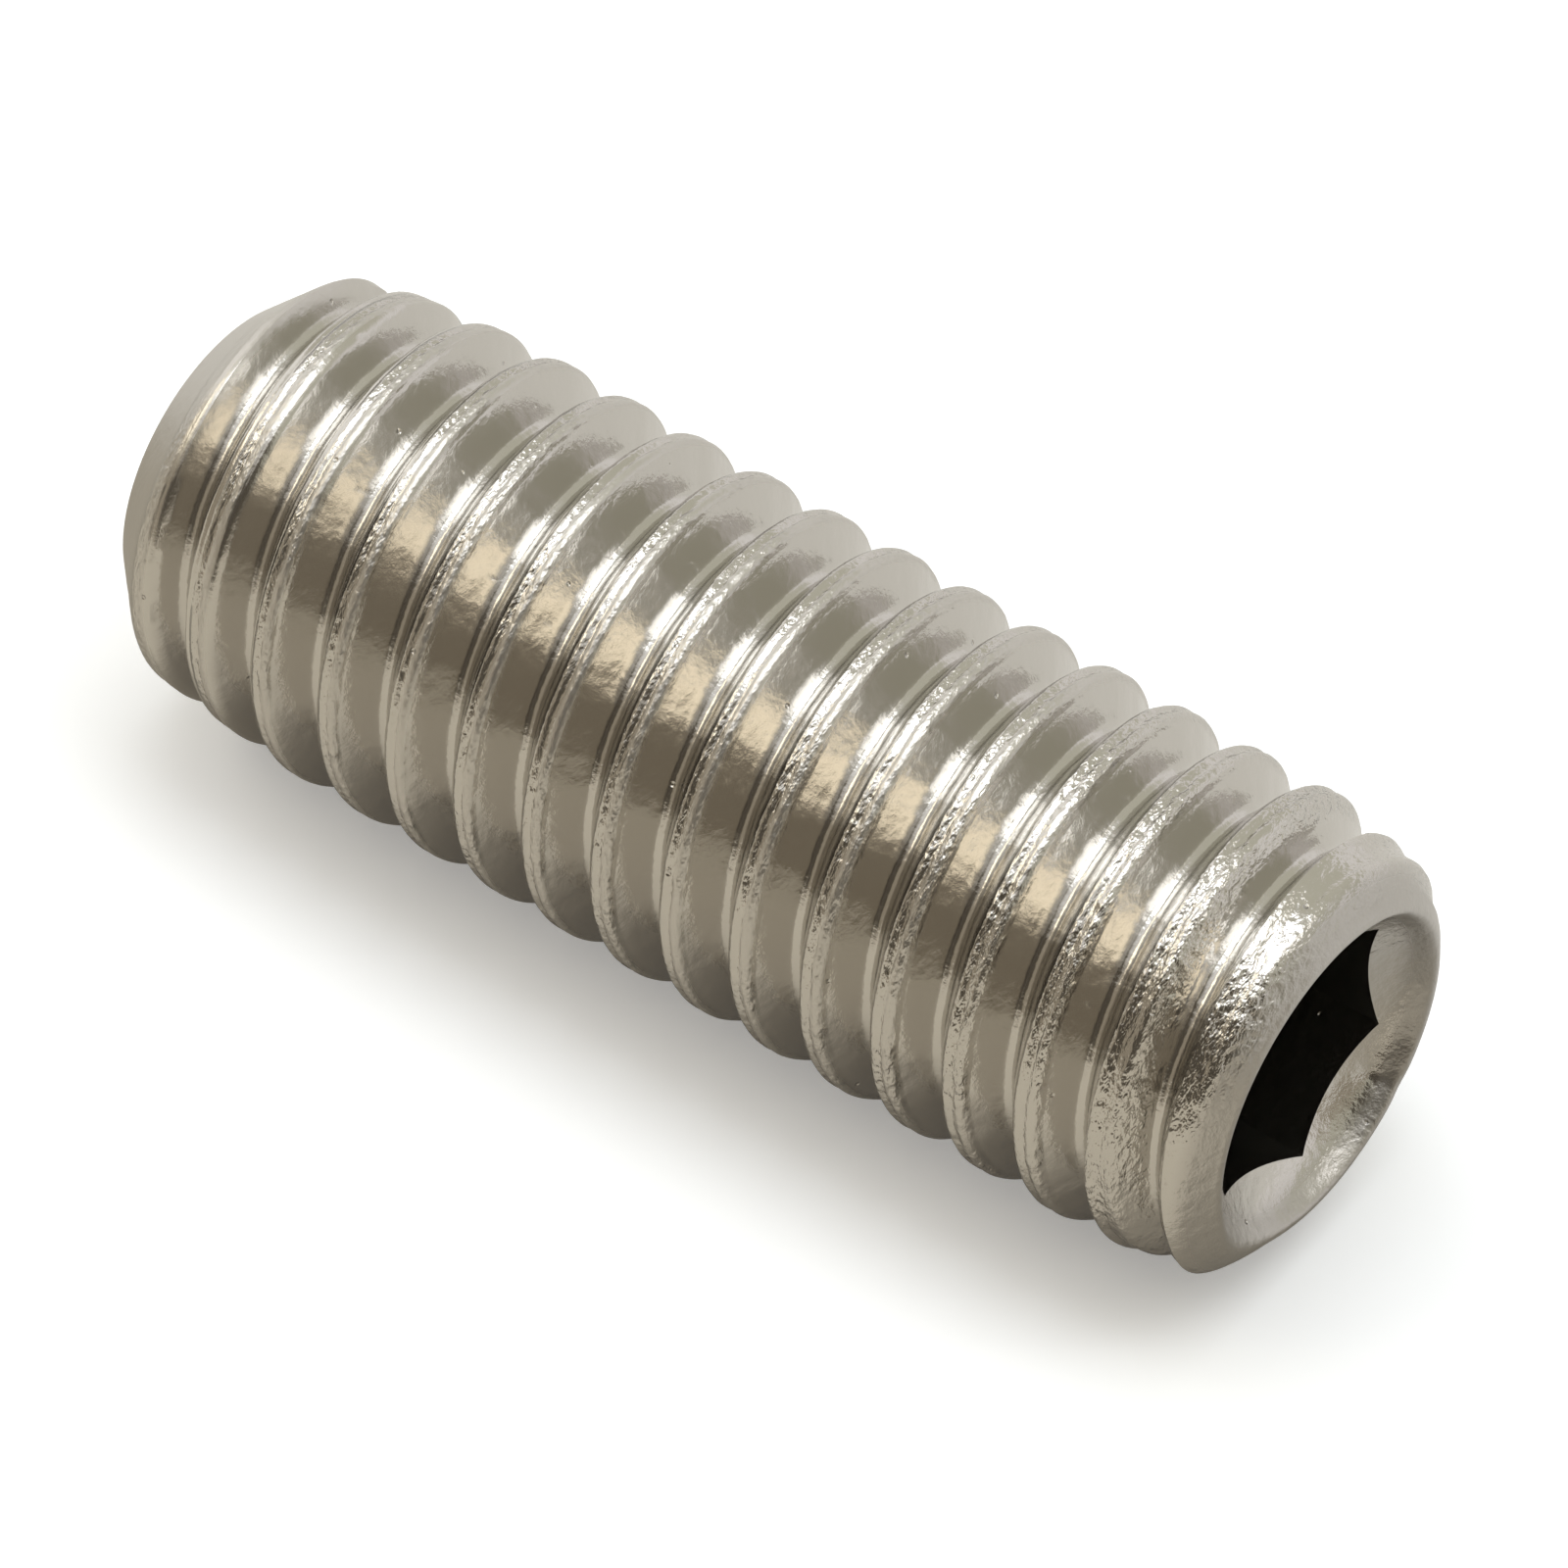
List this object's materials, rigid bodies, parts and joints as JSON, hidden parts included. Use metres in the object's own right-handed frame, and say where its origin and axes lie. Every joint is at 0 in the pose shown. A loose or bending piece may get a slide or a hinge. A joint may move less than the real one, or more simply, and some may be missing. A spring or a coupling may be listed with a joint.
{
  "type": "grub set screw",
  "caption": "Headless set screw with a full-length right-hand coarse thread, a flat point and a dished hex socket end, for locking a hub or collar from inside a tapped hole.",
  "frame": {"origin": "centre of the flat point face, which is also the bottom of the screw as it stands", "axes": "+Z along the screw's axis from the point to the socket, +X through one corner of the hexagon, -Y faces the picture's camera"},
  "size_m": [0.0058, 0.0058, 0.016],
  "materials": {
    "steel": "cold-formed stainless steel, semi-bright as rolled"
  },
  "bodies": {
    "root": {"set_screw": "steel"}
  },
  "joints": []
}
